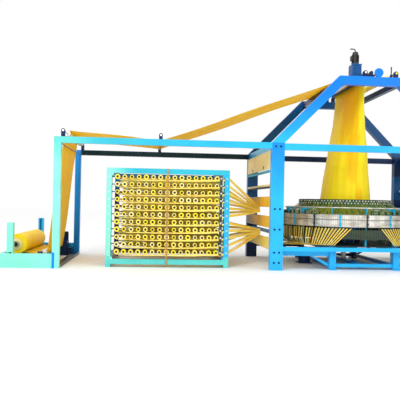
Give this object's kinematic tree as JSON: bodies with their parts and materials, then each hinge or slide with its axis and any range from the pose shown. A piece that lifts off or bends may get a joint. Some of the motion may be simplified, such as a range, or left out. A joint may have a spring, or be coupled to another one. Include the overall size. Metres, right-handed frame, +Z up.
{
  "type": "power loom",
  "caption": "Circular power loom line: weaving head under a hipped steel frame, flanking bobbin creels, and a flattened fabric web led overhead to a floor winder.",
  "frame": {"origin": "axis of the weaving head at floor level, the centre of the base stand's anchor bolts", "axes": "+X from the floor winder towards the right-hand creel, +Y away from the operator, +Z up"},
  "size_m": [12.64, 2.948, 4.436],
  "materials": {
    "sky_paint": "gloss enamel",
    "azure_paint": "gloss enamel",
    "mint_paint": "gloss enamel",
    "cyan_paint": "gloss enamel",
    "navy_paint": "gloss enamel",
    "green_paint": "satin enamel",
    "dark_casting": "painted casting",
    "bright_steel": "ground steel",
    "band_steel": "ribbed sheet",
    "cream_board": "matt enamel",
    "woven_fabric": "woven tape",
    "golden_fabric": "woven tape",
    "yarn": "wound tape",
    "roller_rubber": "ground rubber",
    "belt_rubber": "moulded",
    "black_motor": "satin enamel",
    "core_board": "card tube"
  },
  "bodies": {
    "root": {"base_stand": "sky_paint", "bed_plate": "dark_casting", "bobbins_left": "yarn", "bobbins_right": "yarn", "cam_housing": "azure_paint", "comb_ring": "dark_casting", "corner_posts": "sky_paint", "creel_fittings": "black_motor", "creel_frame_left": "sky_paint", "creel_frame_right": "sky_paint", "creel_pegs": "bright_steel", "drive_belt": "belt_rubber", "fabric_tube": "woven_fabric", "fabric_web": "golden_fabric", "frame_bolts": "bright_steel", "guard_bands": "band_steel", "head_brackets": "cyan_paint", "main_motor": "navy_paint", "overhead_frame": "sky_paint", "reed_ring": "bright_steel", "roller_bearings": "azure_paint", "roof_frame": "azure_paint", "shuttle_tracks": "bright_steel", "table_beams": "azure_paint", "take_up_gearbox": "azure_paint", "take_up_motor": "black_motor", "tape_boards": "cream_board", "warp_ring": "green_paint", "warp_tapes": "yarn", "weaving_ring": "bright_steel", "winder_base": "mint_paint", "winder_gearmotor": "navy_paint"},
    "main_rotor": {"main_shaft": "bright_steel", "main_pulley": "dark_casting", "shuttle_wheel": "dark_casting", "shuttles": "bright_steel"},
    "motor_rotor": {"motor_pulley": "dark_casting"},
    "healds_odd": {"healds_odd": "bright_steel"},
    "healds_even": {"healds_even": "bright_steel"},
    "take_up_roller": {"take_up_roller": "roller_rubber"},
    "press_roller": {"press_roller": "roller_rubber"},
    "exit_roller": {"exit_roller": "bright_steel"},
    "roof_guide_roller": {"roof_guide_roller": "golden_fabric"},
    "guide_roller_mid": {"guide_roller_mid": "bright_steel"},
    "guide_roller_end": {"guide_roller_end": "bright_steel"},
    "feed_roller_left": {"feed_roller_left": "bright_steel"},
    "feed_roller_right": {"feed_roller_right": "bright_steel"},
    "winder_guide_roller": {"winder_guide_roller": "bright_steel"},
    "winding_drum_front": {"winding_drum_front": "roller_rubber"},
    "winding_drum_rear": {"winding_drum_rear": "roller_rubber"},
    "roll_carriage": {"roll_carriers": "dark_casting"},
    "fabric_roll": {"winding_shaft": "core_board", "fabric_roll": "golden_fabric"},
    "nip_lever": {"nip_lever": "black_motor"},
    "weft_bobbin_1": {"weft_bobbin_1": "yarn"},
    "weft_bobbin_2": {"weft_bobbin_2": "yarn"},
    "weft_bobbin_3": {"weft_bobbin_3": "yarn"},
    "weft_bobbin_4": {"weft_bobbin_4": "yarn"},
    "weft_bobbin_5": {"weft_bobbin_5": "yarn"},
    "weft_bobbin_6": {"weft_bobbin_6": "yarn"}
  },
  "joints": [
    {"name": "main_shaft_spin", "type": "hinge", "parent": "root", "child": "main_rotor", "pos_m": [0, 0, 0.9], "axis": [0, 0, 1], "continuous": true},
    {"name": "motor_pulley_spin", "type": "hinge", "parent": "root", "child": "motor_rotor", "pos_m": [-0.9, 0, 0.33], "axis": [0, 0, 1], "continuous": true},
    {"name": "heald_odd_lift", "type": "slide", "parent": "root", "child": "healds_odd", "axis": [0, 0, 1], "range_m": [-0.035, 0.035]},
    {"name": "heald_even_lift", "type": "slide", "parent": "root", "child": "healds_even", "axis": [0, 0, 1], "range_m": [-0.035, 0.035]},
    {"name": "take_up_spin", "type": "hinge", "parent": "root", "child": "take_up_roller", "pos_m": [0.1484, 0, 3.95], "axis": [0, 1, 0], "continuous": true},
    {"name": "press_roller_spin", "type": "hinge", "parent": "root", "child": "press_roller", "pos_m": [0.0016, 0, 3.95], "axis": [0, 1, 0], "continuous": true},
    {"name": "exit_roller_spin", "type": "hinge", "parent": "root", "child": "exit_roller", "pos_m": [-0.12, 0, 3.95], "axis": [0, 1, 0], "continuous": true},
    {"name": "roof_guide_spin", "type": "hinge", "parent": "root", "child": "roof_guide_roller", "pos_m": [0.51, 0, 3.95], "axis": [0, 1, 0], "continuous": true},
    {"name": "mid_roller_spin", "type": "hinge", "parent": "root", "child": "guide_roller_mid", "pos_m": [-4.15, 0, 2.58], "axis": [0, 1, 0], "continuous": true},
    {"name": "end_roller_spin", "type": "hinge", "parent": "root", "child": "guide_roller_end", "pos_m": [-6, 0, 2.62], "axis": [0, 1, 0], "continuous": true},
    {"name": "feed_left_spin", "type": "hinge", "parent": "root", "child": "feed_roller_left", "pos_m": [-1.85, 0, 0.725], "axis": [0, 1, 0], "continuous": true},
    {"name": "feed_right_spin", "type": "hinge", "parent": "root", "child": "feed_roller_right", "pos_m": [1.85, 0, 0.725], "axis": [0, 1, 0], "continuous": true},
    {"name": "winder_guide_spin", "type": "hinge", "parent": "root", "child": "winder_guide_roller", "pos_m": [-6.4, 0, 0.26], "axis": [0, 1, 0], "continuous": true},
    {"name": "drum_front_spin", "type": "hinge", "parent": "root", "child": "winding_drum_front", "pos_m": [-6.79, 0, 0.185], "axis": [0, 1, 0], "continuous": true},
    {"name": "drum_rear_spin", "type": "hinge", "parent": "root", "child": "winding_drum_rear", "pos_m": [-7.09, 0, 0.185], "axis": [0, 1, 0], "continuous": true},
    {"name": "roll_lift", "type": "slide", "parent": "root", "child": "roll_carriage", "axis": [0, 0, 1], "range_m": [0, 0.3]},
    {"name": "roll_spin", "type": "hinge", "parent": "roll_carriage", "child": "fabric_roll", "pos_m": [-6.94, 0, 0.40986], "axis": [0, 1, 0], "continuous": true},
    {"name": "nip_lever_swing", "type": "hinge", "parent": "root", "child": "nip_lever", "pos_m": [0.41, -1.41, 3.905], "axis": [0, -1, 0], "range_deg": [0, 60]},
    {"name": "weft_1_spin", "type": "hinge", "parent": "main_rotor", "child": "weft_bobbin_1", "pos_m": [1.185, 0, 0.969], "axis": [0, 1, 0], "continuous": true},
    {"name": "weft_2_spin", "type": "hinge", "parent": "main_rotor", "child": "weft_bobbin_2", "pos_m": [0.5925, 1.02624, 0.969], "axis": [-0.866, 0.5, 0], "continuous": true},
    {"name": "weft_3_spin", "type": "hinge", "parent": "main_rotor", "child": "weft_bobbin_3", "pos_m": [-0.5925, 1.02624, 0.969], "axis": [-0.866, -0.5, 0], "continuous": true},
    {"name": "weft_4_spin", "type": "hinge", "parent": "main_rotor", "child": "weft_bobbin_4", "pos_m": [-1.185, 0, 0.969], "axis": [0, -1, 0], "continuous": true},
    {"name": "weft_5_spin", "type": "hinge", "parent": "main_rotor", "child": "weft_bobbin_5", "pos_m": [-0.5925, -1.02624, 0.969], "axis": [0.866, -0.5, 0], "continuous": true},
    {"name": "weft_6_spin", "type": "hinge", "parent": "main_rotor", "child": "weft_bobbin_6", "pos_m": [0.5925, -1.02624, 0.969], "axis": [0.866, 0.5, 0], "continuous": true}
  ],
  "couplings": [
    {"joint": "motor_pulley_spin", "follows": "main_shaft_spin", "ratio": 4},
    {"joint": "heald_even_lift", "follows": "heald_odd_lift", "ratio": -1},
    {"joint": "press_roller_spin", "follows": "take_up_spin", "ratio": -1.6364},
    {"joint": "drum_front_spin", "follows": "roll_spin", "ratio": -2.8571},
    {"joint": "drum_rear_spin", "follows": "roll_spin", "ratio": -2.8571},
    {"joint": "feed_right_spin", "follows": "feed_left_spin", "ratio": -1}
  ]
}
